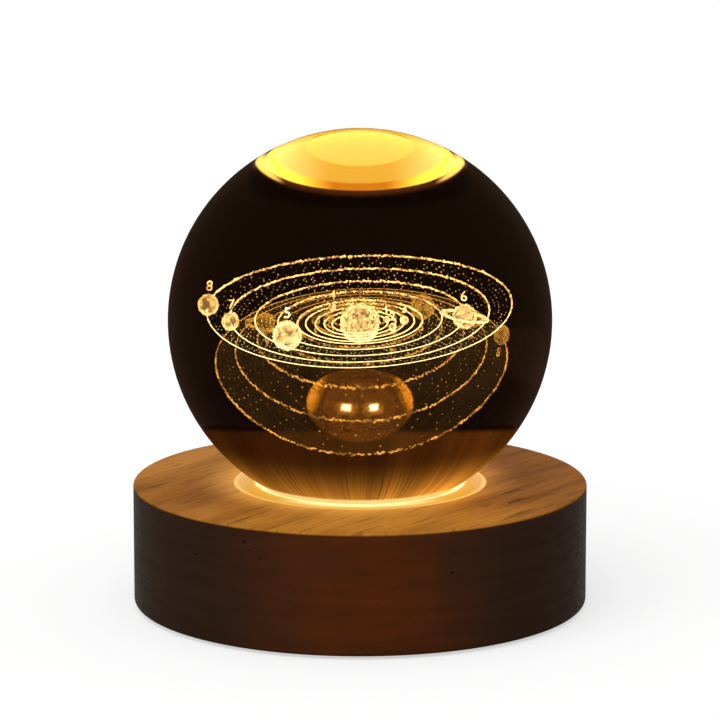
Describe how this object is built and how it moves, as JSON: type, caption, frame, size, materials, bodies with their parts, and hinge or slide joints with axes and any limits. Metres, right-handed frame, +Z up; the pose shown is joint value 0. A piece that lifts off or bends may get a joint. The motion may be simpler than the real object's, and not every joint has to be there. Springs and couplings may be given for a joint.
{
  "type": "crystal ball lamp",
  "caption": "Table lamp: a solid crystal ball with an engraved solar system rests on a round turned wooden base that lights it from below.",
  "frame": {"origin": "on the table, under the middle of the wooden base", "axes": "+Z up along the axis of the ball and of the base; -Y is the front; the socket and the push button are at the back, at +Y"},
  "size_m": [0.095, 0.095, 0.1002],
  "materials": {
    "crystal": "polished, clear, laser engraved inside",
    "oiled_wood": "turned, lightly oiled, open pores",
    "frosted_plastic": "frosted, translucent, lit from below",
    "white_board": "white solder mask",
    "led_phosphor": "warm white phosphor in a white frame",
    "black_ceramic": "matte, moulded",
    "steel": "nickel plated",
    "red_wire": "smooth insulation",
    "black_wire": "smooth insulation",
    "green_board": "green solder mask",
    "capacitor_sleeve": "shrunk sleeve",
    "black_plastic": "fine moulded grain",
    "dark_plastic": "fine moulded grain",
    "rubber": "matte"
  },
  "bodies": {
    "base": {"wood_base": "oiled_wood", "seat_ring": "frosted_plastic", "led_board": "white_board", "led_left": "led_phosphor", "led_right": "led_phosphor", "led_resistor_left": "black_ceramic", "led_resistor_right": "black_ceramic", "led_screw_back": "steel", "led_screw_front": "steel", "red_wire": "red_wire", "black_wire": "black_wire", "power_board": "green_board", "power_screw_left": "steel", "power_screw_right": "steel", "driver_chip": "black_ceramic", "filter_capacitor": "capacitor_sleeve", "socket_shell": "steel", "socket_tongue": "black_plastic", "switch_body": "black_plastic", "button_spring": "steel", "rear_panel": "black_plastic", "bottom_cover": "dark_plastic", "cover_screw_right": "steel", "cover_screw_left": "steel", "cover_screw_front": "steel", "foot_back_right": "rubber", "foot_back_left": "rubber", "foot_front_left": "rubber", "foot_front_right": "rubber"},
    "ball": {"crystal_ball": "crystal"},
    "button": {"button_cap": "dark_plastic"}
  },
  "joints": [
    {"name": "ball_lift", "type": "slide", "parent": "base", "child": "ball", "axis": [0, 0, 1], "range_m": [0, 0.04]},
    {"name": "button_press", "type": "slide", "parent": "base", "child": "button", "axis": [0, -1, 0], "range_m": [0, 0.001], "stiffness_N_per_m": 500, "springref_m": -0.001, "deforming": ["button_spring"]}
  ]
}
